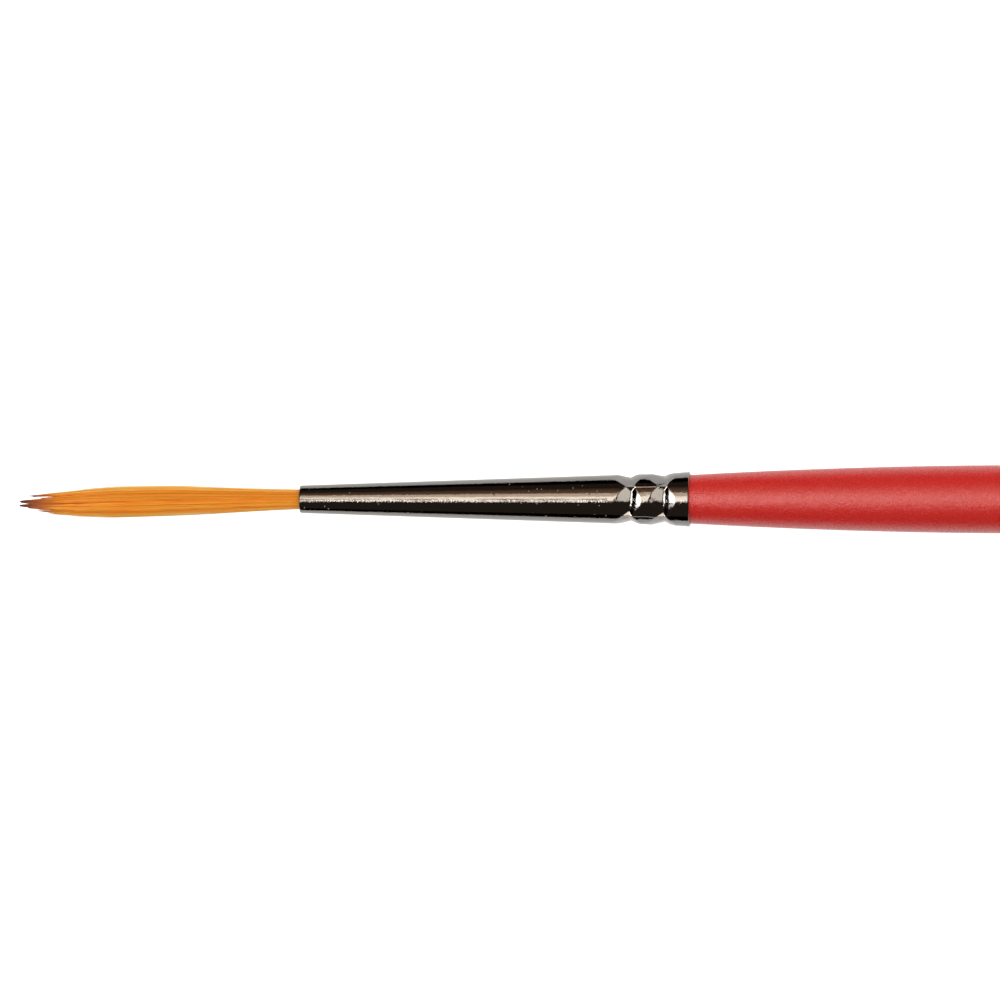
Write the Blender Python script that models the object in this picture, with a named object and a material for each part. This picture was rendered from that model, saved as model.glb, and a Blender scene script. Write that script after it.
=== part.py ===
"""Fine detail brush: a long soft tuft in a crimped metal ferrule, on a slim turned and lacquered handle.

The brush lies level along X with its tip towards -X, and its handle's belly touches the plane Z = 0.
The origin is on that plane, under the middle of the brush.
"Along" is measured from the ferrule's mouth: positive towards the handle, negative out along the hair.
"""

import math

import bmesh
import bpy

MM = 0.001

# Driving dimensions: lengths.
TUFT_OUT = 28.2 * MM  # hair standing out of the ferrule
FERRULE_LENGTH = 39.0 * MM
HANDLE_OUT = 130.0 * MM  # handle standing out of the ferrule
TENON_LENGTH = 19.0 * MM  # handle hidden in the ferrule

# Driving dimensions: ferrule.
MOUTH_RADIUS = 1.385 * MM  # the cone carried to the mouth, before the edge is rounded
CONE_SLOPE = 0.0335  # growth of the radius for each unit along
WALL = 0.2 * MM
MOUTH_ROUND = 0.35 * MM  # length of the rolled front edge
MOUTH_BORE = 1.05 * MM
CRIMPS = (  # along, half width, depth
    (33.1 * MM, 1.3 * MM, 0.29 * MM),
    (36.4 * MM, 1.4 * MM, 0.28 * MM),
)
BEAD = (34.7 * MM, 1.2 * MM, 0.035 * MM)  # along, half width, height
FLARE_LENGTH = 1.8 * MM
FLARE_HEIGHT = 0.056 * MM

# Driving dimensions: handle.
SHOULDER_RADIUS = 2.43 * MM  # where the handle leaves the ferrule
BELLY_RADIUS = 3.4 * MM
BELLY_FROM_FERRULE = 33.0 * MM
SWELL_POWER = 1.9
TAIL_RADIUS = 1.5 * MM
TAPER_POWER = 0.9
REST_STRETCH = 10.0 * MM  # straight stretch before the belly, which the brush lies on
TAIL_ROUND = 1.3 * MM
TAIL_FLAT_RADIUS = 0.8 * MM
TENON_CHAMFER = 0.5 * MM

# Driving dimensions: hair.
TUFT_MOUTH_RADIUS = 0.97 * MM
TUFT_BELLY_RADIUS = 1.55 * MM
TUFT_BELLY_OUT = 17.5 * MM
TUFT_LEAN = 0.022  # sideways lean of the locks for each unit past the flex axis
FLEX_OUT = 6.0 * MM  # the flex axis, out of the mouth
DOME_GAP = 0.07 * MM  # between the heel's domed end and the locks that swing round it
ROOT_LENGTH = 11.0 * MM  # hair hidden in the ferrule
ROOT_RADIUS = 0.95 * MM
DRAW_FROM = 0.52  # the share of its reach at which a lock starts to draw in
DRAW_POWER = 1.6
TIP_FINENESS = 0.07  # what a lock's tip keeps of its width
TIP_PULL = 0.3  # how far the tips lean in towards the tuft's middle line
# Each ring: name, locks in it, inner and outer share of the radius, least and added shortfall of the tips.
LOCK_RINGS = (
    ("core_lock", 1, 0.0, 0.26, 0.0, 0.0),
    ("inner_lock", 5, 0.30, 0.62, 0.3 * MM, 1.2 * MM),
    ("outer_lock", 8, 0.66, 1.0, 1.0 * MM, 3.4 * MM),
)
LENGTH_ORDER = 3  # neighbouring locks differ in length by this many steps of their ring

# Driving dimensions: what holds the hair and the handle.
BINDING_START = 6.4 * MM
BINDING_LENGTH = 1.8 * MM
BINDING_THICKNESS = 0.14 * MM
BINDING_TURNS = 4
BINDING_VALLEY = 0.4  # depth left between turns, as a share of the thickness
PLUG_START = 8.8 * MM
PLUG_LENGTH = 5.4 * MM
GLUE_START = 22.0 * MM
GLUE_LENGTH = 8.0 * MM
GLUE_THICKNESS = 0.10 * MM
FIT_GAP = 0.04 * MM  # between touching pieces
LOCK_GAP = 0.05 * MM  # between neighbouring locks of hair

SIDES = 24
LENGTH = TUFT_OUT + FERRULE_LENGTH + HANDLE_OUT
MOUTH_X = TUFT_OUT - LENGTH / 2
TAIL_ALONG = FERRULE_LENGTH + HANDLE_OUT
BELLY_ALONG = FERRULE_LENGTH + BELLY_FROM_FERRULE
TENON_START = FERRULE_LENGTH - TENON_LENGTH


# ---------------------------------------------------------------- scene and materials


def clear_scene():
    for thing in list(bpy.data.objects):
        bpy.data.objects.remove(thing, do_unlink=True)


def material(name, colour, roughness, metallic=0.0, coat=0.0):
    made = bpy.data.materials.new(name)
    made.use_nodes = True
    shader = made.node_tree.nodes["Principled BSDF"]
    shader.inputs["Base Color"].default_value = (*colour, 1.0)
    shader.inputs["Roughness"].default_value = roughness
    shader.inputs["Metallic"].default_value = metallic
    shader.inputs["Coat Weight"].default_value = coat
    made.diffuse_color = (*colour, 1.0)
    return made


def empty(name, location, parent=None):
    made = bpy.data.objects.new(name, None)
    bpy.context.collection.objects.link(made)
    made.location = location
    made.parent = parent
    made.empty_display_size = 2 * MM
    return made


def solid_object(name, mesh_builder, finish, parent):
    """Turns a bmesh into an object, with its faces pointing out."""
    bmesh.ops.remove_doubles(mesh_builder, verts=mesh_builder.verts, dist=1e-7)
    bmesh.ops.recalc_face_normals(mesh_builder, faces=mesh_builder.faces)
    mesh = bpy.data.meshes.new(name)
    mesh_builder.to_mesh(mesh)
    mesh_builder.free()
    mesh.shade_smooth()
    mesh.set_sharp_from_angle(angle=math.radians(35))
    mesh.materials.append(finish)
    made = bpy.data.objects.new(name, mesh)
    bpy.context.collection.objects.link(made)
    made.parent = parent
    return made


# ---------------------------------------------------------------- turned pieces


def turned(name, outline, finish, parent, ring=False):
    """Spins (along, radius) points about the brush's axis. A ring's outline closes on itself.

    The radius is that of the circle inside the facets, and a facet faces straight down.
    """
    corner_share = math.tan(math.pi / SIDES)
    builder = bmesh.new()
    points = [builder.verts.new((along, radius * corner_share, radius)) for along, radius in outline]
    edges = [builder.edges.new(pair) for pair in zip(points, points[1:])]
    if ring:
        edges.append(builder.edges.new((points[-1], points[0])))
    bmesh.ops.spin(
        builder,
        geom=points + edges,
        cent=(0, 0, 0),
        axis=(1, 0, 0),
        angle=math.tau,
        steps=SIDES,
        use_merge=True,
    )
    return solid_object(name, builder, finish, parent)


def bump(along, centre, half_width):
    """A raised cosine: 1 at the centre, 0 from half_width away."""
    share = min(abs(along - centre) / half_width, 1.0)
    return 0.5 + 0.5 * math.cos(math.pi * share)


def steps(first, last, count):
    return [first + (last - first) * i / count for i in range(count + 1)]


def ferrule_radius(along):
    """The cone with its two crimps, the bead between them and the flared rear edge."""
    radius = MOUTH_RADIUS + CONE_SLOPE * along
    for centre, half_width, depth in CRIMPS:
        radius -= depth * bump(along, centre, half_width)
    centre, half_width, height = BEAD
    radius += height * bump(along, centre, half_width)
    return radius + FLARE_HEIGHT * bump(along, FERRULE_LENGTH, FLARE_LENGTH)


def bore_radius(along):
    return ferrule_radius(along) - WALL


def crimped_stations():
    """Places along the ferrule, close together where it is crimped."""
    plain_end = CRIMPS[0][0] - CRIMPS[0][1]
    return steps(MOUTH_ROUND + WALL, plain_end, 4) + steps(plain_end, FERRULE_LENGTH, 20)[1:]


def ferrule(finish, parent):
    """A seamless tapered tube, rolled in at its mouth and open at both ends."""
    edge = []
    for turn in steps(0.0, math.pi / 2, 4):
        full = MOUTH_RADIUS + CONE_SLOPE * MOUTH_ROUND
        rise = (full - MOUTH_BORE - FIT_GAP) * math.sin(turn)
        edge.append((MOUTH_ROUND * (1 - math.cos(turn)), MOUTH_BORE + FIT_GAP + rise))
    outside = edge + [(along, ferrule_radius(along)) for along in crimped_stations()]
    inside = [(along, bore_radius(along)) for along in reversed(crimped_stations())]
    inside += [(MOUTH_ROUND, MOUTH_BORE), (0.0, MOUTH_BORE)]
    return turned("ferrule", outside + inside, finish, parent, ring=True)


def handle_radius(along):
    """The handle outside the ferrule: a swell to the belly, then a long taper to the tail."""
    past = along - FERRULE_LENGTH
    if past < BELLY_FROM_FERRULE:
        left = 1 - past / BELLY_FROM_FERRULE
        return BELLY_RADIUS - (BELLY_RADIUS - SHOULDER_RADIUS) * left**SWELL_POWER
    share = (along - BELLY_ALONG) / (TAIL_ALONG - BELLY_ALONG)
    ease = 0.5 + 0.5 * math.cos(math.pi * share**TAPER_POWER)
    return TAIL_RADIUS + (BELLY_RADIUS - TAIL_RADIUS) * ease


def tenon_radius(along):
    """The handle inside the ferrule: slimmer along the glue, and pressed into the crimps behind it."""
    glue_end = GLUE_START + GLUE_LENGTH + FIT_GAP
    if along < glue_end:
        return bore_radius(along) - GLUE_THICKNESS - 2 * FIT_GAP
    return min(bore_radius(along) - FIT_GAP, SHOULDER_RADIUS)


def handle(finish, parent):
    """A turned hardwood handle with its tenon, a rounded tail and a small flat at the tail's end."""
    glue_end = GLUE_START + GLUE_LENGTH
    tenon_front = tenon_radius(TENON_START)
    tenon = [(TENON_START, tenon_front - TENON_CHAMFER), (TENON_START + TENON_CHAMFER, tenon_front)]
    tenon += [(glue_end, tenon_radius(glue_end))]
    tenon += [(along, tenon_radius(along)) for along in steps(glue_end + 2 * FIT_GAP, FERRULE_LENGTH, 22)]
    swelling = steps(FERRULE_LENGTH, BELLY_ALONG - REST_STRETCH, 8)[1:] + [BELLY_ALONG]
    swell = [(along, handle_radius(along)) for along in swelling]
    behind_belly = steps(BELLY_ALONG, TAIL_ALONG - TAIL_ROUND, 20)[1:]
    taper = [(along, handle_radius(along)) for along in behind_belly]
    start = handle_radius(TAIL_ALONG - TAIL_ROUND)
    tail = [
        (
            TAIL_ALONG - TAIL_ROUND * (1 - math.sin(turn)),
            TAIL_FLAT_RADIUS + (start - TAIL_FLAT_RADIUS) * math.cos(turn),
        )
        for turn in steps(0.0, math.pi / 2, 5)[1:]
    ]
    outline = [(TENON_START, 0.0)] + tenon + swell + taper + tail + [(TAIL_ALONG, 0.0)]
    return turned("handle", outline, finish, parent)


def handle_glue(finish, parent):
    """The thin conical sleeve of glue between the tenon and the ferrule."""
    stations = (GLUE_START, GLUE_START + GLUE_LENGTH)
    outside = [(along, bore_radius(along) - FIT_GAP) for along in stations]
    inside = [(along, radius - GLUE_THICKNESS) for along, radius in reversed(outside)]
    return turned("handle_glue", outside + inside, finish, parent, ring=True)


def root_plug(finish, parent):
    """The cured resin cup that grips the ends of the hair and fills the ferrule behind them."""
    plug_end = PLUG_START + PLUG_LENGTH
    pocket_end = ROOT_LENGTH + FIT_GAP
    bore = ROOT_RADIUS + FIT_GAP
    outline = [(pocket_end, 0.0), (pocket_end, bore), (PLUG_START, bore)]
    outline += [(along, bore_radius(along) - FIT_GAP) for along in (PLUG_START, plug_end)]
    return turned("root_resin_plug", outline + [(plug_end, 0.0)], finish, parent)


def root_binding(finish, parent):
    """The band of thread that ties the roots: turns lying side by side, as one ring."""
    pitch = BINDING_LENGTH / BINDING_TURNS
    low = ROOT_RADIUS + FIT_GAP
    high = low + BINDING_THICKNESS
    valley = low + BINDING_VALLEY * BINDING_THICKNESS
    crests = []
    for turn in range(BINDING_TURNS):
        start = BINDING_START + turn * pitch
        crests += [(start, valley), (start + pitch / 2, high)]
    end = BINDING_START + BINDING_LENGTH
    crests += [(end, valley), (end, low), (BINDING_START, low)]
    return turned("root_binding", crests, finish, parent, ring=True)


# ---------------------------------------------------------------- hair


def tuft_radius(out):
    """Radius of the whole tuft, growing from the mouth to the belly and full from there to the tips."""
    share = min(out / TUFT_BELLY_OUT, 1.0)
    return TUFT_MOUTH_RADIUS + (TUFT_BELLY_RADIUS - TUFT_MOUTH_RADIUS) * math.sin(share * math.pi / 2)


def tuft_root(finish, parent):
    """The stiff heel of the tuft, with the roots that the binding and the resin hold in the ferrule.

    Its free end is a dome centred on the flex axis, so the locks can swing round it.
    """
    dome = tuft_radius(FLEX_OUT)
    turns = steps(0.0, math.pi / 2, 6)[:-1]
    outline = [(-FLEX_OUT - dome * math.cos(turn), dome * math.sin(turn)) for turn in turns]
    outline += [(-out, tuft_radius(out)) for out in steps(FLEX_OUT, 0.0, 4)]
    outline += [(ROOT_LENGTH, ROOT_RADIUS), (ROOT_LENGTH, 0.0)]
    return turned("tuft_root", outline, finish, parent)


def lock_section(first_turn, last_turn, inner, outer):
    """Corners of one lock's cross-section in shares of the tuft's radius: part of a ring, or a full disc."""
    if last_turn - first_turn > 0.99 * math.tau:
        return [(outer * math.cos(t), outer * math.sin(t)) for t in steps(0.0, math.tau, 8)[:-1]]
    arc = steps(first_turn, last_turn, 3)
    far = [(outer * math.cos(t), outer * math.sin(t)) for t in arc]
    near = [(inner * math.cos(t), inner * math.sin(t)) for t in reversed(arc)]
    return far + near


def base_out(spread):
    """How far out a lock starts, at this distance from the tuft's middle line, to clear the heel's dome."""
    clear = tuft_radius(FLEX_OUT) + DOME_GAP
    return FLEX_OUT + math.sqrt(max(clear**2 - spread**2, (clear / 2) ** 2))


def hair_lock(name, section, reach, finish, parent):
    """Lofts a lock of hair from the heel's dome to its own tip, where it draws in about its middle line.

    Positions are measured from the flex axis, which the parent marks.
    """
    draw_from = DRAW_FROM * reach
    middle = [sum(corner[i] for corner in section) / len(section) for i in (0, 1)]
    trim = LOCK_GAP / 2 / TUFT_BELLY_RADIUS
    builder = bmesh.new()
    rings = []
    for out in [FLEX_OUT] + steps(FLEX_OUT + 2 * tuft_radius(FLEX_OUT), reach, 8):
        share = max(0.0, (out - draw_from) / (reach - draw_from))
        keep = max(math.sqrt(1 - share**DRAW_POWER), TIP_FINENESS) - trim
        pull = 1 - TIP_PULL * share**2
        radius = tuft_radius(out)
        ring = []
        for corner in section:
            y, z = (radius * (middle[i] * pull + (corner[i] - middle[i]) * keep) for i in (0, 1))
            place = max(out, base_out(math.hypot(y, z)))
            past = place - FLEX_OUT
            ring.append(builder.verts.new((-past, y - TUFT_LEAN * past, z)))
        rings.append(ring)
    for ring, following in zip(rings, rings[1:]):
        for i in range(len(ring)):
            j = (i + 1) % len(ring)
            builder.faces.new((ring[i], ring[j], following[j], following[i]))
    builder.faces.new(rings[0])
    builder.faces.new(rings[-1])
    return solid_object(name, builder, finish, parent)


def hair_locks(finish, parent):
    """One core lock, a ring of inner locks and a ring of outer locks, each with its own reach."""
    for name, count, inner, outer, shortfall, spread in LOCK_RINGS:
        width = math.tau / count
        spacing = LOCK_GAP / TUFT_BELLY_RADIUS if count > 1 else 0.0
        for i in range(count):
            first_turn = i * width + spacing
            section = lock_section(first_turn, first_turn + width - 2 * spacing, inner, outer)
            reach = TUFT_OUT - shortfall - spread * ((LENGTH_ORDER * i) % count) / count
            label = name if count == 1 else f"{name}_{i + 1}"
            hair_lock(label, section, reach, finish, parent)


def build():
    clear_scene()
    lacquer = material("red_lacquer", (0.58, 0.045, 0.032), 0.32, coat=0.6)
    nickel = material("dark_nickel", (0.42, 0.39, 0.37), 0.16, metallic=1.0)
    hair = material("golden_hair", (0.74, 0.30, 0.06), 0.5)
    resin = material("resin", (0.52, 0.36, 0.14), 0.35)
    thread = material("thread", (0.80, 0.77, 0.68), 0.8)
    glue = material("glue", (0.66, 0.62, 0.52), 0.5)
    axis = empty("brush_axis", (MOUTH_X, 0.0, BELLY_RADIUS))
    flex = empty("tuft_flex_axis", (-FLEX_OUT, 0.0, 0.0), axis)
    handle(lacquer, axis)
    handle_glue(glue, axis)
    ferrule(nickel, axis)
    root_plug(resin, axis)
    root_binding(thread, axis)
    tuft_root(hair, axis)
    hair_locks(hair, flex)


build()
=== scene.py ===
"""The looks of a fine detail brush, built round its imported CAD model.

The brush lies level along X with its tip towards -X. Its axis runs AXIS_HEIGHT above the floor.
"Along" is measured from the ferrule's mouth towards the handle, and "out" from the mouth along the hair.
Sizes are in millimetres inside the formulas and become metres where a mesh is made.
"""

import math

import bpy
import numpy as np
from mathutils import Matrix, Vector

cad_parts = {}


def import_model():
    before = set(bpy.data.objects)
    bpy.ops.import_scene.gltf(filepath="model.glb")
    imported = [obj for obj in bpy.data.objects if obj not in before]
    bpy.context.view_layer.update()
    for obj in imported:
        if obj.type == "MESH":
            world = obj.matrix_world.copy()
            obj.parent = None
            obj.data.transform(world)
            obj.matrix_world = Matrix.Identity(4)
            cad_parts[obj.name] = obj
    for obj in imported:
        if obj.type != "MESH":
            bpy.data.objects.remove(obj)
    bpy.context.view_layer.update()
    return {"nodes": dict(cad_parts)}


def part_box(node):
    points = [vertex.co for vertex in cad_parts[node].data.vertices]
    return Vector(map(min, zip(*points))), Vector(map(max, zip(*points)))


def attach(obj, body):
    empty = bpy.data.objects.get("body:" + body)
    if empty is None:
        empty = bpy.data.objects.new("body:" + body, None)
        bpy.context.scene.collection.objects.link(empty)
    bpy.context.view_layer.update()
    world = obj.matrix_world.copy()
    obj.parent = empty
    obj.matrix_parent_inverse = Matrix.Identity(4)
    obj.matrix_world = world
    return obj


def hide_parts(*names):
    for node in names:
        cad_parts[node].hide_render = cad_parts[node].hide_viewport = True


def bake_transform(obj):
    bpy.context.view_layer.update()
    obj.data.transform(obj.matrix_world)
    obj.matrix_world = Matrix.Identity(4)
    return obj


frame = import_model()

MM = 0.001

# Places, worked out from the frame.
FERRULE_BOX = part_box("ferrule")
HANDLE_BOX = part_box("handle")
MOUTH_X = FERRULE_BOX[0].x
FERRULE_LENGTH = (FERRULE_BOX[1].x - FERRULE_BOX[0].x) / MM
TAIL_ALONG = (HANDLE_BOX[1].x - MOUTH_X) / MM
TENON_START = (HANDLE_BOX[0].x - MOUTH_X) / MM
BELLY_RADIUS = (HANDLE_BOX[1].y - HANDLE_BOX[0].y) / 2 / MM
AXIS_HEIGHT = BELLY_RADIUS * MM
CRIMP_X = MOUTH_X / MM + 31.3  # in the object's own millimetres, where the crimp starts

# Ferrule: the CAD's tube with finer edges. The bead is what stays up between the two grooves.
MOUTH_RADIUS = 1.385
CONE_SLOPE = 0.0335
WALL = 0.2
MOUTH_ROUND = 0.24
MOUTH_TURN = math.radians(32)  # how far the front edge rolls in before it is cut
MOUTH_BORE = 1.05
LIP_ROUND = 0.09  # the rounding of the rear edge, drawn with one step in between
LIP_STEP = 0.027
LIP_START = 38.85
BEAD = (34.6, 1.1, -0.03)  # along, half width, height
FLARE = (FERRULE_LENGTH, 1.6, 0.056)

# The crimp: five jaws, each pressing two grooves, which are narrower towards the ridges between the jaws.
JAWS = 5
FIRST_RIDGE = math.radians(30)  # from straight up towards +Y
JAW_CURVE = 4.4  # radius of the jaws' faces, across the brush
RIDGE_NARROWING = 0.25
# Each groove: its bottom, the share of the drift that it shows, and the depths of its slopes by place from
# there. The front slope starts softly, and the rear slope breaks halfway.
FRONT_GROOVE = (
    (-2.4, -0.25),
    (-2.15, -0.03),
    (-1.4, 0.05),
    (-0.06, 0.385),
    (0.05, 0.385),
    (0.60, 0.135),
    (0.93, 0.045),
    (1.38, 0.005),
    (1.7, -0.25),
)
REAR_GROOVE = (
    (-2.2, -0.25),
    (-1.93, 0.0),
    (-1.42, 0.055),
    (-0.06, 0.375),
    (0.05, 0.375),
    (0.60, 0.125),
    (1.1, 0.02),
    (1.5, -0.25),
)
GROOVES = ((33.21, 1.0, FRONT_GROOVE), (36.50, 0.5, REAR_GROOVE))
# The jaws don't meet squarely: how far the grooves drift along the brush, by the angle round it in degrees.
DRIFT = (
    (-180, -0.12),
    (-90, -0.12),
    (-42, -0.30),
    (-6, 0.0),
    (28, 0.10),
    (60, -0.18),
    (90, -0.16),
    (180, -0.12),
)
RIDGE_FLANK = math.radians(40)  # how far a ridge's flanks lean from the tube's own surface
# How high each ridge stands over the tube where the grooves are deepest. Two are crushed.
CRESTS = (0.015, -0.30, 0.0, -0.15, 0.015)
SEAM = (0.04, math.radians(2.8))  # the fine line that the jaws' gaps leave on the ridges: height, half width
SEAM_SPAN = (32.2, 37.0)
PRESSED_SPAN = (31.5, 38.1)  # where the metal is uneven
SPAN_EASE = 0.8
DEEPEST = 0.38
PRESS_SOFTENING = 0.09
PRESS_SAMPLES = 7
EDGE_SOFTENING = 0.022
CREST_SOFTENING = 0.03
FINE_SPAN = (31.2, 38.3)  # where the rings of the mesh lie close together
# Unevenness of the pressed metal: waves round the tube, waves per millimetre along it, phase and height.
UNEVEN = (
    (6, 0.25, 0.4, 0.0060),
    (9, -0.45, 2.1, 0.0050),
    (14, 0.80, 4.0, 0.0030),
    (22, -1.20, 1.3, 0.0016),
    (31, 1.90, 5.2, 0.0009),
)

# Handle, as in the CAD.
SHOULDER_RADIUS = 2.43
BELLY_FROM_FERRULE = 33.0
SWELL_POWER = 1.9
TAIL_RADIUS = 1.5
TAPER_POWER = 0.9
TAIL_ROUND = 1.3
TAIL_FLAT_RADIUS = 0.8
TENON_CHAMFER = 0.5
FIT_GAP = 0.04
GLUE_START = 22.0
GLUE_LENGTH = 8.0
GLUE_THICKNESS = 0.10

# Hair.
ROOT_LENGTH = 11.0
TUFT_MOUTH_RADIUS = 0.97
TUFT_BELLY_RADIUS = 1.50
TUFT_BELLY_OUT = 17.0
LEAN_SLOPE = 0.0132  # the tuft's middle line leans sideways, and a little more past its belly
LEAN_STEP = 0.06
LEAN_SPAN = (14.0, 21.0)
DRAW_START = 18.5  # from here on the locks draw in to their tips
DRAW_SLACK = 0.2
LEAD_POWER = 1.5  # how late a lock goes over to its tip
GATHER = 0.93  # how closely its strands gather there
GATHER_POWER = 1.4
DYE_SPAN = (22.8, 29.4)  # the hair goes from golden to dark along this
STRANDS = 1300
STRAND_RADIUS = 0.039
STRAND_SIDES = 5
STRAND_RINGS = 44
LOOSENESS = 0.03  # how far strands stray from their places at the tip
WAVE_HEIGHT = 0.012
WAVE_RATE = 0.42  # radians for each millimetre
STRAND_TAPER = 3.5  # a strand's last stretch, over which it thins
TIP_FINENESS = 0.30
# Strays: thin pale strands just outside the others, more of them at the tuft's two sides than on top. Their
# paleness is partly bleached hair and partly painted light, standing for light shining through thin hair.
STRAY_FROM = 0.85  # only strands beyond this share of the radius can be strays
STRAYS_ON_TOP = 0.05
STRAYS_ADDED_BESIDE = 0.22
STRAY_PLACE = (0.98, 0.11)  # as a share of the radius: the innermost stray, and how far they spread from it
STRAY_THICKNESS = 0.48
TIDY_REACH = 0.97
# What a strand's shade gains and loses: above 1 it's pale, and below 0 it's deep orange. The pale sides are
# painted light shining through the tuft's thin edges, and the deep orange at a lock's edges is painted shade
# between the locks.
SHADE_BASE = 0.15
STRAY_BLEACH_AND_GLOW = 0.6
SIDE_PAINTED_GLOW = 0.95
SIDE_GLOW_SPAN = (0.60, 0.96)
PARTING_PAINTED_SHADE = 0.65
PARTING_SHADE_WIDTH = 0.16  # the painted shade on strands at a lock's edges, standing for the shade between locks, as a share of its width
SEED = 7

# Camera.
VIEW_TILT = math.radians(4.5)  # towards the handle
VIEW_WIDTH = 0.0997
VIEW_CENTRE = (-0.0504, -0.000075, AXIS_HEIGHT)
VIEW_DISTANCE = 1.5
SENSOR = 36.0

# Floor and light, in metres.
FLOOR_HALF = 20.0
FLOOR_TONE = (0.8, 0.8, 0.8, 1.0)
FLOOR_GLOW = 0.85
ROOM_GLOW = 0.38
CARD_HALF_LENGTH = 0.5  # the card is what the gloss shows of the floor
CARD_HALF_WIDTH = 0.021
CARD_GLOW = 1.15
SHEET_GAP = 0.0002  # between the floor's sheets
PANEL_HEIGHT = 3.0
# Each panel: the degrees from straight overhead that it fills along X and along Y, its colour, its strength,
# where it fades in along Y, and what sees it: matt surfaces, gloss or both.
PANELS = (
    ("key_softbox", (-19, 1), (-17, 12), (1.0, 0.88, 0.75), 3.9, (-17, -3), "both"),
    ("end_softbox", (-50, -19), (-27, 12), (1.0, 0.97, 0.94), 8.0, (-27, -17), "gloss"),
    ("side_panel", (-50, 1), (12, 29), (1.0, 0.78, 0.60), 1.85, (12, 12.1), "both"),
    ("front_panel", (14, 55), (-17, 24), (1.0, 0.90, 0.80), 2.3, (-17, -10), "both"),
    ("top_fill", (-60, 60), (-15, 60), (1.0, 0.98, 0.95), 1.04, (-15.1, -15), "matt"),
    ("warm_wall", (-50, 50), (30, 58), (1.0, 0.55, 0.33), 0.40, (58, 30), "gloss"),
    ("dark_wall_far", (-60, 60), (58, 80), (1.0, 0.7, 0.5), 0.05, (57.9, 58), "gloss"),
    ("dark_wall_near", (-60, 60), (-80, -17), (1.0, 0.74, 0.58), 0.055, (-80.1, -80), "gloss"),
)


# ---------------------------------------------------------------- small helpers


def smooth(low, high, value):
    share = np.clip((value - low) / (high - low), 0.0, 1.0)
    return share * share * (3 - 2 * share)


def bump(along, centre, half_width):
    share = np.minimum(np.abs(along - centre) / half_width, 1.0)
    return 0.5 + 0.5 * np.cos(math.pi * share)


def within(span, along):
    """1 inside a stretch of the brush, easing to 0 at its two ends."""
    return smooth(span[0], span[0] + SPAN_EASE, along) * smooth(span[1], span[1] - SPAN_EASE, along)


def soft_min(a, b, blend):
    """The smaller of two lengths, rounded where they cross."""
    near = np.maximum(blend - np.abs(a - b), 0.0) / blend
    return np.minimum(a, b) - near * near * blend / 4


def spaced(*stops):
    """Places along a line: each stop is (place, steps since the last stop)."""
    places = [stops[0][0]]
    for (start, _), (end, count) in zip(stops, stops[1:]):
        places += [start + (end - start) * (step + 1) / count for step in range(count)]
    return np.array(places)


def add_mesh(name, points, faces, material):
    """An object from points in millimetres, measured from the ferrule's mouth on the brush's axis."""
    mesh = bpy.data.meshes.new(name)
    placed = np.asarray(points) * MM + np.array((MOUTH_X, 0.0, AXIS_HEIGHT))
    mesh.from_pydata(placed.tolist(), [], faces)
    mesh.materials.append(material)
    mesh.shade_smooth()
    made = bpy.data.objects.new(name, mesh)
    bpy.context.scene.collection.objects.link(made)
    return made


def ring_faces(rings, sides, closed):
    """Quads between neighbouring rings; closed joins the last ring to the first."""
    faces = []
    for ring in range(rings if closed else rings - 1):
        here = ring * sides
        there = ((ring + 1) % rings) * sides
        for side in range(sides):
            following = (side + 1) % sides
            faces.append((here + side, there + side, there + following, here + following))
    return faces


def around(sides):
    """Angles round the brush, from straight up towards +Y."""
    return np.arange(sides) * math.tau / sides


def surface_points(along, radius, angles):
    """Points on rings, with along given for each ring, and radius for each ring or each ring and angle."""
    along = np.repeat(np.asarray(along)[:, None], len(angles), axis=1)
    radius = np.broadcast_to(radius if np.ndim(radius) == 2 else np.asarray(radius)[:, None], along.shape)
    points = np.stack((along, radius * np.sin(angles), radius * np.cos(angles)), axis=-1)
    return points.reshape(-1, 3)


# ---------------------------------------------------------------- material helpers


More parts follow.
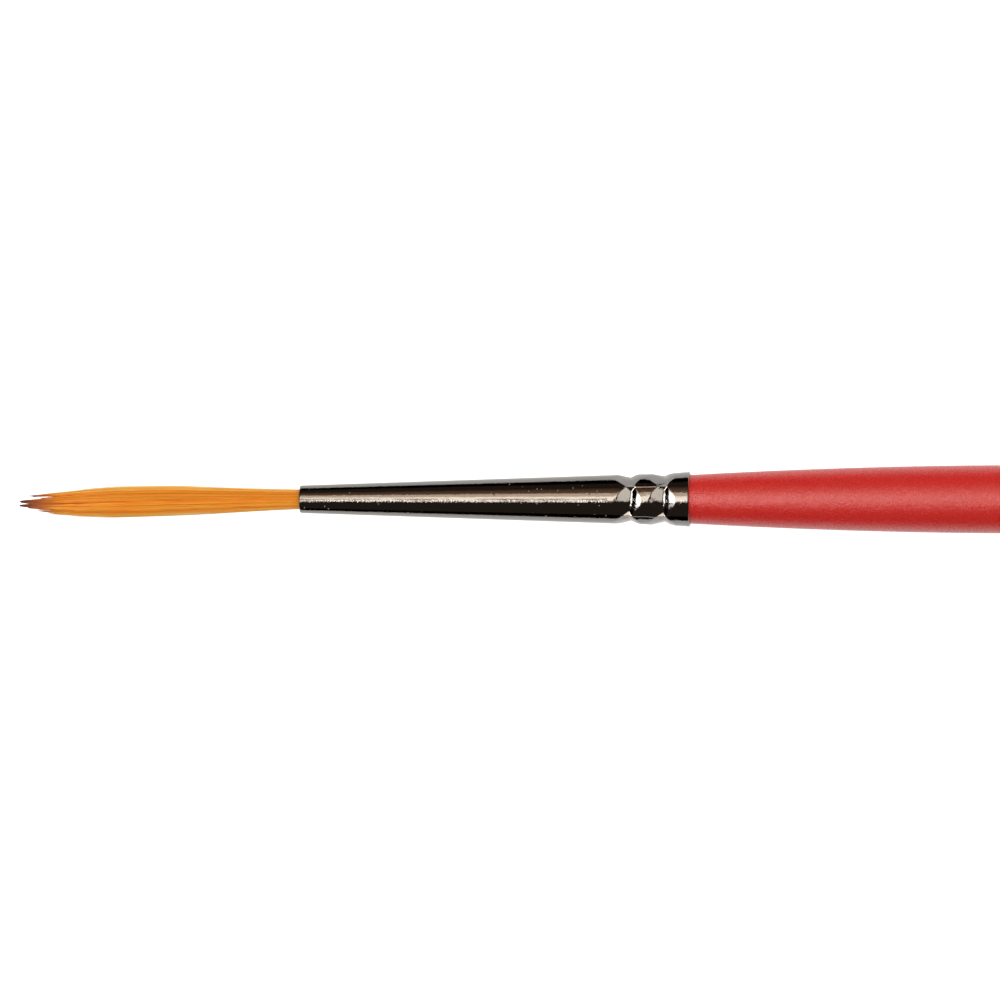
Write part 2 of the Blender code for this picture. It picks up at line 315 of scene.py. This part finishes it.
class Recipe:
    """A material being built: nodes are added by type, with their inputs given by name."""

    def __init__(self, name):
        self.material = bpy.data.materials.new(name)
        self.material.use_nodes = True
        self.tree = self.material.node_tree
        self.shader = self.tree.nodes["Principled BSDF"]
        self.places = self.node("ShaderNodeTexCoord").outputs["Object"]

    def node(self, kind, settings=None, **inputs):
        made = self.tree.nodes.new(kind)
        for key, value in (settings or {}).items():
            setattr(made, key, value)
        for key, value in inputs.items():
            self.give(made.inputs[key.replace("_", " ")], value)
        return made

    def give(self, socket, value):
        if isinstance(value, bpy.types.NodeSocket):
            self.tree.links.new(value, socket)
        else:
            socket.default_value = value

    def stretched(self, scale):
        """Object coordinates in millimetres, each multiplied by its own scale."""
        per_mm = tuple(s / MM for s in scale)
        return self.node("ShaderNodeMapping", Vector=self.places, Scale=per_mm).outputs["Vector"]

    def noise(self, scale, detail=3.0, roughness=0.5):
        vector = self.stretched(scale)
        wanted = {"Vector": vector, "Scale": 1.0, "Detail": detail, "Roughness": roughness}
        return self.node("ShaderNodeTexNoise", **wanted).outputs["Fac"]

    def dots(self, scale, size):
        """1 at the middle of scattered dots, falling to 0 at size from it, in cells of a Voronoi pattern."""
        vector = self.stretched(scale)
        cells = self.node("ShaderNodeTexVoronoi", Vector=vector, Scale=1.0)
        return self.ranged(cells.outputs["Distance"], 0.0, size, 1.0, 0.0)

    def ranged(self, value, low, high, to_low, to_high):
        made = self.node("ShaderNodeMapRange", {"interpolation_type": "SMOOTHSTEP"}, Value=value)
        for key, number in (("From Min", low), ("From Max", high), ("To Min", to_low), ("To Max", to_high)):
            made.inputs[key].default_value = number
        return made.outputs["Result"]

    def math(self, operation, first, second):
        made = self.node("ShaderNodeMath", {"operation": operation})
        self.give(made.inputs[0], first)
        self.give(made.inputs[1], second)
        return made.outputs["Value"]

    def mixed(self, factor, first, second):
        made = self.node("ShaderNodeMix", {"data_type": "RGBA"})
        self.give(made.inputs["Factor"], factor)
        for key, colour in (("A", first), ("B", second)):
            linked = isinstance(colour, bpy.types.NodeSocket)
            self.give(made.inputs[key], colour if linked else (*colour, 1.0))
        return made.outputs["Result"]

    def raised(self, height, distance, normal=None):
        """A normal bent by a height from 0 to 1, where distance is its depth in millimetres."""
        made = self.node("ShaderNodeBump", Height=height, Distance=distance * MM)
        if normal is not None:
            self.give(made.inputs["Normal"], normal)
        return made.outputs["Normal"]

    def finish(self, **inputs):
        for key, value in inputs.items():
            self.give(self.shader.inputs[key.replace("_", " ")], value)
        return self.material


# ---------------------------------------------------------------- materials


def nickel():
    """Dark polished nickel, with fine marks along the tube, a few pits and a scuffed strip on one side."""
    recipe = Recipe("dark_nickel")
    marks = recipe.noise((0.9, 10, 10), detail=4)
    grain = recipe.noise((3.2, 5, 5), detail=3, roughness=0.65)
    scuffs = recipe.noise((6, 3.5, 3.5), detail=2, roughness=0.6)
    place = recipe.node("ShaderNodeSeparateXYZ", Vector=recipe.stretched((1, 1, 1)))
    before_crimp = recipe.ranged(place.outputs["X"], CRIMP_X - 1.0, CRIMP_X, 1.0, 0.0)
    pits = recipe.math("MULTIPLY", recipe.dots((1.5, 1.5, 1.5), 0.12), before_crimp)
    uneven = recipe.noise((0.25, 0.6, 0.6))
    tone = recipe.mixed(uneven, (0.212, 0.207, 0.200), (0.238, 0.232, 0.224))
    roughness = recipe.ranged(marks, 0.3, 0.7, 0.05, 0.10)
    strip_starts = recipe.ranged(place.outputs["Y"], -0.56, -0.26, 0.0, 1.0)
    strip_ends = recipe.ranged(place.outputs["Y"], -0.2, 0.1, 1.0, 0.0)
    patchy = recipe.math("MULTIPLY", strip_starts, strip_ends)
    patchy = recipe.math("MULTIPLY", patchy, recipe.ranged(uneven, 0.35, 0.6, 0.4, 1.0))
    patchy = recipe.math("MULTIPLY", patchy, recipe.ranged(before_crimp, 0.0, 1.0, 0.25, 1.0))
    normal = recipe.raised(marks, 0.003)
    normal = recipe.raised(grain, 0.008, normal)
    normal = recipe.raised(pits, 0.055, normal)
    normal = recipe.raised(recipe.math("MULTIPLY", scuffs, patchy), 0.085, normal)
    return recipe.finish(Base_Color=tone, Metallic=1.0, Roughness=roughness, Normal=normal)


def lacquer():
    """Red lacquer over primed wood: orange peel and a slightly uneven colour coat."""
    recipe = Recipe("red_lacquer")
    peel = recipe.noise((5, 5, 5), detail=3, roughness=0.75)
    cloud = recipe.noise((0.12, 0.5, 0.5))
    tone = recipe.mixed(cloud, (0.57, 0.012, 0.008), (0.62, 0.016, 0.011))
    roughness = recipe.ranged(peel, 0.3, 0.7, 0.25, 0.32)
    normal = recipe.raised(peel, 0.055)
    return recipe.finish(Base_Color=tone, Roughness=roughness, Normal=normal, Specular_IOR_Level=0.75)


def hair():
    """Golden filament, brown and then dark at the tips. Each strand has a shade, and is pale above 1: paler
    at the tuft's sides as painted light, deeper at a lock's edges as painted shade.
    """
    recipe = Recipe("golden_hair")
    shade = recipe.node("ShaderNodeAttribute", {"attribute_name": "shade"}).outputs["Fac"]
    dye = recipe.node("ShaderNodeAttribute", {"attribute_name": "dye"}).outputs["Fac"]
    streak = recipe.noise((0.13, 6, 6), detail=3)
    wander = recipe.ranged(streak, 0.3, 0.7, -0.45, 0.3)
    # The shade carries painted light and shade: strands at the tuft's sides and strays turn pale, standing
    # for light shining through thin hair, and a lock's edges turn deep orange, a painted shade between the
    # locks.
    light = recipe.math("ADD", shade, wander)
    golden = recipe.mixed(light, (0.93, 0.255, 0.010), (1.0, 0.46, 0.038))
    body = recipe.mixed(recipe.ranged(light, -0.7, 0.1, 0.0, 1.0), (0.70, 0.135, 0.008), golden)
    pale = recipe.mixed(recipe.ranged(light, 1.1, 2.0, 0.0, 1.0), body, (1.0, 0.64, 0.15))
    brown = recipe.mixed(recipe.ranged(dye, 0.0, 0.55, 0.0, 1.0), pale, (0.56, 0.15, 0.03))
    tone = recipe.mixed(recipe.ranged(dye, 0.5, 0.95, 0.0, 1.0), brown, (0.10, 0.034, 0.034))
    return recipe.finish(Base_Color=tone, Roughness=0.42, Specular_IOR_Level=0.25)


def glue():
    """Dried wood glue: yellowish, with drag marks along the tenon and small bubbles."""
    recipe = Recipe("dried_glue")
    drag = recipe.noise((1.5, 6, 6))
    bubbles = recipe.dots((3, 3, 3), 0.25)
    tone = recipe.mixed(drag, (0.60, 0.50, 0.33), (0.74, 0.66, 0.48))
    normal = recipe.raised(bubbles, 0.02, recipe.raised(drag, 0.02))
    roughness = recipe.ranged(drag, 0.3, 0.7, 0.4, 0.6)
    return recipe.finish(Base_Color=tone, Roughness=roughness, Normal=normal)


def resin():
    """Amber epoxy that was poured round the roots: glossy, with a few bubbles and darker streaks."""
    recipe = Recipe("amber_resin")
    flow = recipe.noise((1.2, 2, 2), detail=4)
    bubbles = recipe.dots((2.5, 2.5, 2.5), 0.2)
    tone = recipe.mixed(flow, (0.42, 0.22, 0.06), (0.62, 0.40, 0.14))
    normal = recipe.raised(bubbles, 0.02)
    roughness = recipe.ranged(flow, 0.3, 0.7, 0.12, 0.3)
    return recipe.finish(Base_Color=tone, Roughness=roughness, Normal=normal)


def thread():
    """Waxed cotton thread: plies slanting round each turn, and a little fluff."""
    recipe = Recipe("binding_thread")
    plies = recipe.noise((9, 2.5, 2.5), detail=2)
    fluff = recipe.noise((18, 18, 18), detail=3)
    tone = recipe.mixed(plies, (0.60, 0.55, 0.44), (0.83, 0.79, 0.68))
    normal = recipe.raised(fluff, 0.01, recipe.raised(plies, 0.02))
    return recipe.finish(Base_Color=tone, Roughness=0.85, Normal=normal)


# ---------------------------------------------------------------- ferrule


def cone_radius(along):
    """The unpressed tube: the cone, the bead between the two grooves and the flared rear edge."""
    centre, half_width, height = BEAD
    radius = MOUTH_RADIUS + CONE_SLOPE * along + height * bump(along, centre, half_width)
    centre, half_width, height = FLARE
    return radius + height * bump(along, centre, half_width)


def press_depth(along, off_centre, drift):
    """How far the jaws' faces are pressed below the cone, with the breaks between the slopes rounded."""
    narrowing = 1 + RIDGE_NARROWING * (off_centre * JAWS / math.pi) ** 2
    deepest = -1.0
    for bottom, drifting, slopes in GROOVES:
        places, depths = zip(*slopes)
        from_bottom = (along - drifting * drift - bottom) * narrowing
        shifts = np.linspace(-PRESS_SOFTENING, PRESS_SOFTENING, PRESS_SAMPLES)
        depth = sum(np.interp(from_bottom + shift, places, depths) for shift in shifts) / PRESS_SAMPLES
        deepest = np.maximum(deepest, depth)
    return deepest


def ferrule_radius(along, angles):
    """Outside radius for each place along (rows) and angle (columns)."""
    along = np.asarray(along)[:, None]
    turn = math.tau / JAWS
    off_centre = (angles[None, :] - FIRST_RIDGE) % turn - turn / 2
    from_top = np.degrees((angles + math.pi) % math.tau - math.pi)
    drift = np.interp(from_top, *zip(*DRIFT))[None, :]
    depth = press_depth(along, off_centre, drift)
    behind = JAW_CURVE - (MOUTH_RADIUS + CONE_SLOPE * along - depth)
    sideways = behind * np.sin(off_centre)
    face = np.sqrt(np.maximum(JAW_CURVE**2 - sideways**2, 0.0)) - behind * np.cos(off_centre)
    from_ridge = turn / 2 - np.abs(off_centre)
    nearest = np.round((angles - FIRST_RIDGE) / turn).astype(int) % JAWS
    share = np.clip(press_depth(along, turn / 2, drift) / DEEPEST, 0.0, 1.0)
    crest = cone_radius(along) + np.array(CRESTS)[nearest][None, :] * share
    flank = crest * math.cos(RIDGE_FLANK) / np.cos(RIDGE_FLANK - from_ridge)
    pressed = -soft_min(-face, -flank, CREST_SOFTENING)
    uneven = sum(
        height * np.sin(waves * angles[None, :] + math.tau * rate * along + phase)
        for waves, rate, phase, height in UNEVEN
    )
    seam = SEAM[0] * bump(from_ridge, 0.0, SEAM[1]) * within(SEAM_SPAN, along)
    return soft_min(crest, pressed, EDGE_SOFTENING) + seam + uneven * within(PRESSED_SPAN, along)


def ferrule(material):
    """A seamless tapered tube, rolled in at its mouth, open at both ends and pressed by the crimp."""
    angles = around(360)
    plain = spaced((MOUTH_ROUND, 0), (FINE_SPAN[0], 40))[1:]
    pressed = spaced((FINE_SPAN[0], 0), (FINE_SPAN[1], 158), (LIP_START, 6))[1:]
    outside_along = np.concatenate((plain, pressed))
    outside = ferrule_radius(outside_along, angles)
    turns = np.linspace(MOUTH_TURN, 0.0, 12)
    roll_curve = MOUTH_ROUND / math.sin(MOUTH_TURN)
    roll_along = MOUTH_ROUND - roll_curve * np.sin(turns)
    roll_radius = float(cone_radius(MOUTH_ROUND)) - roll_curve * (1 - np.cos(turns))
    lip = ferrule_radius(np.array((FERRULE_LENGTH,)), angles)
    lip_along = FERRULE_LENGTH - np.array((LIP_ROUND, LIP_STEP, 0.0, 0.0, LIP_STEP, LIP_ROUND))
    insets = (0.0, LIP_STEP, LIP_ROUND, WALL - LIP_ROUND, WALL - LIP_STEP, WALL)
    lip_radius = np.concatenate([lip - inset for inset in insets])
    bore_along = outside_along[:-3][::-1][::4]
    bore_along = bore_along[bore_along > MOUTH_ROUND + WALL]
    bore = ferrule_radius(bore_along, angles) - WALL
    mouth_along = np.array((MOUTH_ROUND, 0.06, 0.0))
    mouth_radius = np.array((MOUTH_BORE, MOUTH_BORE, MOUTH_BORE + 0.02))
    points = np.concatenate(
        (
            surface_points(roll_along, roll_radius, angles),
            surface_points(outside_along, outside, angles),
            surface_points(lip_along, lip_radius, angles),
            surface_points(bore_along, bore, angles),
            surface_points(mouth_along, mouth_radius, angles),
        )
    )
    sides = len(angles)
    made = add_mesh("ferrule_crimped", points, ring_faces(len(points) // sides, sides, closed=True), material)
    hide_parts("ferrule")
    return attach(made, "grip")


# ---------------------------------------------------------------- handle


def handle_radius(along):
    """The handle outside the ferrule: a swell to the belly, then a long taper to the tail."""
    past = along - FERRULE_LENGTH
    left = np.clip(1 - past / BELLY_FROM_FERRULE, 0.0, 1.0)
    swell = BELLY_RADIUS - (BELLY_RADIUS - SHOULDER_RADIUS) * left**SWELL_POWER
    belly = FERRULE_LENGTH + BELLY_FROM_FERRULE
    share = np.clip((along - belly) / (TAIL_ALONG - belly), 0.0, 1.0)
    ease = 0.5 + 0.5 * np.cos(math.pi * share**TAPER_POWER)
    taper = TAIL_RADIUS + (BELLY_RADIUS - TAIL_RADIUS) * ease
    return np.where(past < BELLY_FROM_FERRULE, swell, taper)


def tenon_radius(along, angles):
    """The handle inside the ferrule: slimmer along the glue, and pressed into the crimp behind it."""
    bore = ferrule_radius(along, angles) - WALL
    glued = bore - GLUE_THICKNESS - 2 * FIT_GAP
    gripped = np.minimum(bore - FIT_GAP, SHOULDER_RADIUS)
    past_glue = along[:, None] >= GLUE_START + GLUE_LENGTH + 2 * FIT_GAP
    return np.where(past_glue, gripped, glued)


def handle(material):
    """A turned hardwood handle with its tenon, a rounded tail and a small flat at the tail's end."""
    angles = around(160)
    glue_end = GLUE_START + GLUE_LENGTH
    glued = spaced((TENON_START, 0), (TENON_START + TENON_CHAMFER, 2), (glue_end, 8), (glue_end + 0.1, 1))
    tenon_along = np.append(glued, spaced((glued[-1], 0), (FERRULE_LENGTH, 120))[1:])
    tenon = tenon_radius(tenon_along, angles)
    tenon[0] -= TENON_CHAMFER
    shown_along = spaced((FERRULE_LENGTH, 0), (TAIL_ALONG - TAIL_ROUND, 260))[1:]
    turns = np.linspace(0.0, math.pi / 2, 13)[1:]
    start = float(handle_radius(TAIL_ALONG - TAIL_ROUND))
    flat_rings = TAIL_FLAT_RADIUS * np.array((0.6, 0.25))
    round_along = TAIL_ALONG - TAIL_ROUND * (1 - np.sin(turns))
    round_radius = TAIL_FLAT_RADIUS + (start - TAIL_FLAT_RADIUS) * np.cos(turns)
    tail_along = np.append(round_along, np.full(len(flat_rings), TAIL_ALONG))
    tail_radius = np.append(round_radius, flat_rings)
    points = np.concatenate(
        (
            surface_points(tenon_along, tenon, angles),
            surface_points(shown_along, handle_radius(shown_along), angles),
            surface_points(tail_along, tail_radius, angles),
        )
    )
    sides = len(angles)
    rings = len(points) // sides
    faces = ring_faces(rings, sides, closed=False)
    faces.append(tuple(range(sides)))
    faces.append(tuple(reversed(range(len(points) - sides, len(points)))))
    made = add_mesh("handle_lacquered", points, faces, material)
    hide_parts("handle")
    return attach(made, "grip")


# ---------------------------------------------------------------- hair


def tuft_radius(out):
    share = np.clip(out / TUFT_BELLY_OUT, 0.0, 1.0)
    swell = (np.sin(share * math.pi / 2) + smooth(0.0, 1.0, share)) / 2
    return TUFT_MOUTH_RADIUS + (TUFT_BELLY_RADIUS - TUFT_MOUTH_RADIUS) * swell


def lean(out):
    """How far the tuft's middle line has wandered towards -Y."""
    return LEAN_SLOPE * np.maximum(out, 0.0) + LEAN_STEP * smooth(*LEAN_SPAN, out)


def strand_paths(rng, share, turn, tip, spread, crowding):
    """Points (strand, ring, xyz) of strands at these shares of the tuft's radius and turns round it.

    A lock's middle goes over from its place in the tuft to its tip, and its strands draw in round it.
    """
    count = len(share)
    fraction = np.linspace(0.0, 1.0, STRAND_RINGS)
    reach = tip[0] - spread * rng.random(count) ** crowding
    out = -ROOT_LENGTH + (reach[:, None] + ROOT_LENGTH) * fraction[None, :]
    width = (tuft_radius(out) - STRAND_RADIUS) * (1 - 0.05 * smooth(1.0, 5.0, -out))
    place = share * np.stack((np.cos(turn), np.sin(turn)))
    middle = place.mean(axis=1)
    toward_tip = np.clip((out - DRAW_START) / (tip[0] + DRAW_SLACK - DRAW_START), 0.0, 1.0)
    lead = toward_tip**LEAD_POWER
    gather = 1 - GATHER * toward_tip**GATHER_POWER
    loose = rng.normal(0.0, LOOSENESS, (2, count, 1))
    wave_turn = rng.random((2, count, 1)) * math.tau
    wave = WAVE_HEIGHT * smooth(0.0, 12.0, out) * np.sin(out[None] * WAVE_RATE + wave_turn)
    lines = []
    for axis, base, tip_place in ((0, -lean(out), tip[1]), (1, np.zeros_like(out), tip[2])):
        lock_line = (base + middle[axis] * width) * (1 - lead) + tip_place * lead
        own = (place[axis] - middle[axis])[:, None] * width * gather
        lines.append(lock_line + own + loose[axis] * toward_tip + wave[axis])
    return np.stack((-out, *lines), axis=-1), out


def strand_tubes(name, paths, out, thickness, shade, dye_shift, material):
    """Closed tapered tubes round the paths. Their points keep each strand's shade and dye."""
    count, rings, _ = paths.shape
    corners = np.arange(STRAND_SIDES) * math.tau / STRAND_SIDES
    fine = 0.62 + 0.38 * smooth(0.0, 14.0, out)
    taper = np.clip((out[:, -1:] - out) / STRAND_TAPER, 0.0, 1.0) ** 0.6
    radius = thickness[:, None] * fine * (TIP_FINENESS + (1 - TIP_FINENESS) * taper)
    y = paths[..., 1][..., None] + radius[..., None] * np.cos(corners)
    z = paths[..., 2][..., None] + radius[..., None] * np.sin(corners)
    x = np.broadcast_to(paths[..., 0][..., None], y.shape)
    points = np.stack((x, y, z), axis=-1).reshape(-1, 3)
    tube = np.array(ring_faces(rings, STRAND_SIDES, closed=False))
    per_strand = rings * STRAND_SIDES
    faces = (tube[None] + (np.arange(count) * per_strand)[:, None, None]).reshape(-1, 4).tolist()
    for strand in range(count):
        start = strand * per_strand
        faces.append(tuple(range(start, start + STRAND_SIDES)))
        faces.append(tuple(reversed(range(start + per_strand - STRAND_SIDES, start + per_strand))))
    made = add_mesh(name, points, faces, material)
    shades = np.repeat(shade, per_strand)
    dyes = smooth(*DYE_SPAN, out + dye_shift[:, None])
    add_attribute(made.data, "shade", shades)
    add_attribute(made.data, "dye", np.repeat(dyes.reshape(-1), STRAND_SIDES))
    return made


def add_attribute(mesh, name, values):
    mesh.attributes.new(name, "FLOAT", "POINT").data.foreach_set("value", values.astype(np.float32))


# Each lock: CAD node, its place in the tuft (first turn, last turn, inner, outer), its tip (out, side, up),
# how far back from the tip its hairs end, and how much they crowd towards the tip.
LOCKS = (
    ("core_lock", (0.0, 1.0, 0.0, 0.28), (28.15, -0.62, 0.02), 3.5, 1.7),
    ("inner_lock_1", (0.0, 0.2, 0.28, 0.64), (26.3, 0.15, 0.10), 3.5, 0.8),
    ("inner_lock_2", (0.2, 0.4, 0.28, 0.64), (28.1, -0.25, 0.10), 3.5, 1.7),
    ("inner_lock_3", (0.4, 0.6, 0.28, 0.64), (27.4, -0.86, 0.04), 3.0, 1.3),
    ("inner_lock_4", (0.6, 0.8, 0.28, 0.64), (27.6, -0.66, -0.12), 3.5, 1.3),
    ("inner_lock_5", (0.8, 1.0, 0.28, 0.64), (27.5, -0.20, -0.10), 3.5, 1.3),
    ("outer_lock_1", (0.0, 0.125, 0.64, 1.0), (26.0, 0.30, 0.12), 4.5, 0.7),
    ("outer_lock_2", (0.125, 0.25, 0.64, 1.0), (28.18, -0.24, 0.10), 4.0, 1.9),
    ("outer_lock_3", (0.25, 0.375, 0.64, 1.0), (28.18, -0.64, 0.10), 4.0, 1.9),
    ("outer_lock_4", (0.375, 0.5, 0.64, 1.0), (26.9, -1.10, 0.05), 4.5, 0.7),
    ("outer_lock_5", (0.5, 0.625, 0.64, 1.0), (25.9, -1.42, -0.10), 6.5, 0.6),
    ("outer_lock_6", (0.625, 0.75, 0.64, 1.0), (26.7, -1.00, -0.20), 3.5, 0.8),
    ("outer_lock_7", (0.75, 0.875, 0.64, 1.0), (27.5, -0.24, -0.20), 3.5, 1.3),
    ("outer_lock_8", (0.875, 1.0, 0.64, 1.0), (27.7, 0.23, -0.04), 7.0, 0.8),
)


def hair_lock(rng, node, sector, tip, spread, crowding, material):
    """One lock of strands, from its roots in the ferrule to its tip."""
    first, last, inner, outer = sector
    area = (last - first) * (outer**2 - inner**2)
    count = round(STRANDS * area)
    share = np.sqrt(inner**2 + (outer**2 - inner**2) * rng.random(count))
    placed = (np.arange(count) + rng.random(count)) / count
    turn = math.tau * (first + (last - first) * placed)
    flank = np.abs(share * np.cos(turn))
    odds = STRAYS_ON_TOP + STRAYS_ADDED_BESIDE * smooth(0.4, 0.8, flank)
    stray = (share > STRAY_FROM) & (rng.random(count) < odds)
    share = np.where(stray, STRAY_PLACE[0] + STRAY_PLACE[1] * rng.random(count), TIDY_REACH * share)
    paths, out = strand_paths(rng, share, turn, tip, spread, crowding)
    thickness = STRAND_RADIUS * (0.85 + 0.3 * rng.random(count)) * np.where(stray, STRAY_THICKNESS, 1.0)
    # Painted shade: strands at a lock's edges are darker, standing for the shade in the gaps between locks.
    parting_shade = 1 - smooth(0.0, PARTING_SHADE_WIDTH, np.minimum(placed, 1 - placed))
    # Strays are paler, partly bleached hair and partly painted light through thin hair; strands at the tuft's
    # two sides are painted paler, standing for light shining through the thin edges.
    shade = SHADE_BASE + rng.random(count) + STRAY_BLEACH_AND_GLOW * stray
    shade = shade + SIDE_PAINTED_GLOW * smooth(*SIDE_GLOW_SPAN, flank) - PARTING_PAINTED_SHADE * parting_shade
    dye_shift = rng.normal(0.0, 0.4, count)
    made = strand_tubes(f"{node}_hair", paths, out, thickness, shade, dye_shift, material)
    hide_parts(node)
    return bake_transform(made)


def tuft(material):
    """All the locks. The roots' CAD node is hidden, and the strands' roots run into the ferrule where it was.
    """
    rng = np.random.default_rng(SEED)
    made = [hair_lock(rng, *lock, material) for lock in LOCKS]
    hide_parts("tuft_root")


# ---------------------------------------------------------------- floor, light and camera


def stage_plane(name, corners, material):
    mesh = bpy.data.meshes.new(name)
    mesh.from_pydata(corners, [], [(0, 1, 2, 3)])
    mesh.materials.append(material)
    made = bpy.data.objects.new(name, mesh)
    bpy.context.scene.collection.objects.link(made)
    return made


def flat(name, x_half, y_half, height, material):
    """A level sheet centred under the brush, in metres."""
    corners = [(-x_half, -y_half), (x_half, -y_half), (x_half, y_half), (-x_half, y_half)]
    return stage_plane(name, [(*corner, height) for corner in corners], material)


def floor():
    """The pale floor: a sheet for the eye, one for its soft bounce, and the card that shows in the gloss."""
    seen = Recipe("pale_floor")
    seen.finish(Base_Color=FLOOR_TONE, Roughness=0.9, Specular_IOR_Level=0.1)
    seen.finish(Emission_Color=(1.0, 1.0, 1.0, 1.0), Emission_Strength=FLOOR_GLOW)
    shown = flat("floor", FLOOR_HALF, FLOOR_HALF, 0.0, seen.material)
    bounce = Recipe("floor_bounce").finish(Base_Color=FLOOR_TONE, Roughness=0.9, Specular_IOR_Level=0.1)
    below = flat("floor_bounce", FLOOR_HALF, FLOOR_HALF, -SHEET_GAP, bounce)
    sheen = glow("floor_card", (1.0, 0.965, 0.94), CARD_GLOW, -1.0, -0.9)
    card = flat("floor_card", CARD_HALF_LENGTH, CARD_HALF_WIDTH, -2 * SHEET_GAP, sheen)
    for made, role in ((shown, "seen"), (below, "matt"), (card, "gloss")):
        made.visible_camera = role == "seen"
        made.visible_shadow = role == "matt"
        made.visible_diffuse = role == "matt"
        made.visible_glossy = role == "gloss"


def glow(name, colour, strength, fade_from, fade_to):
    """Light for a panel that fades along Y, between two places given in metres."""
    made = bpy.data.materials.new(name)
    made.use_nodes = True
    tree = made.node_tree
    tree.nodes.remove(tree.nodes["Principled BSDF"])
    emission = tree.nodes.new("ShaderNodeEmission")
    emission.inputs["Color"].default_value = (*colour, 1.0)
    places = tree.nodes.new("ShaderNodeTexCoord")
    split = tree.nodes.new("ShaderNodeSeparateXYZ")
    fade = tree.nodes.new("ShaderNodeMapRange")
    fade.inputs["From Min"].default_value = fade_from
    fade.inputs["From Max"].default_value = fade_to
    fade.inputs["To Max"].default_value = strength
    tree.links.new(places.outputs["Object"], split.inputs["Vector"])
    tree.links.new(split.outputs["Y"], fade.inputs["Value"])
    tree.links.new(fade.outputs["Result"], emission.inputs["Strength"])
    tree.links.new(emission.outputs["Emission"], tree.nodes["Material Output"].inputs["Surface"])
    return made


def panels():
    for name, x_span, y_span, colour, strength, fade, seen_by in PANELS:
        x = [PANEL_HEIGHT * math.tan(math.radians(a)) for a in x_span]
        y = [PANEL_HEIGHT * math.tan(math.radians(a)) for a in y_span]
        fades = [PANEL_HEIGHT * math.tan(math.radians(a)) for a in fade]
        corners = [(x[0], y[0]), (x[0], y[1]), (x[1], y[1]), (x[1], y[0])]
        light = glow(name, colour, strength, *fades)
        made = stage_plane(name, [(*corner, PANEL_HEIGHT) for corner in corners], light)
        made.visible_camera = False
        made.visible_shadow = False
        made.visible_diffuse = seen_by != "gloss"
        made.visible_glossy = seen_by != "matt"


def world():
    made = bpy.data.worlds.new("pale_room")
    made.use_nodes = True
    made.node_tree.nodes["Background"].inputs["Color"].default_value = (1.0, 1.0, 1.0, 1.0)
    made.node_tree.nodes["Background"].inputs["Strength"].default_value = ROOM_GLOW
    made.cycles_visibility.glossy = False
    bpy.context.scene.world = made


def camera():
    data = bpy.data.cameras.new("photo_camera")
    data.sensor_width = SENSOR
    data.lens = SENSOR * VIEW_DISTANCE / VIEW_WIDTH
    data.clip_start = 0.1
    made = bpy.data.objects.new("photo_camera", data)
    bpy.context.scene.collection.objects.link(made)
    x, y, z = VIEW_CENTRE
    made.location = (x + VIEW_DISTANCE * math.sin(VIEW_TILT), y, z + VIEW_DISTANCE * math.cos(VIEW_TILT))
    made.rotation_euler = (0.0, VIEW_TILT, 0.0)
    bpy.context.scene.camera = made


# ---------------------------------------------------------------- the whole picture

camera()
floor()
panels()
world()
bpy.context.scene.view_settings.view_transform = "Standard"

ferrule(nickel())
handle(lacquer())
tuft(hair())
for kept_node, finish in (("handle_glue", glue()), ("root_resin_plug", resin()), ("root_binding", thread())):
    frame["nodes"][kept_node].material_slots[0].material = finish
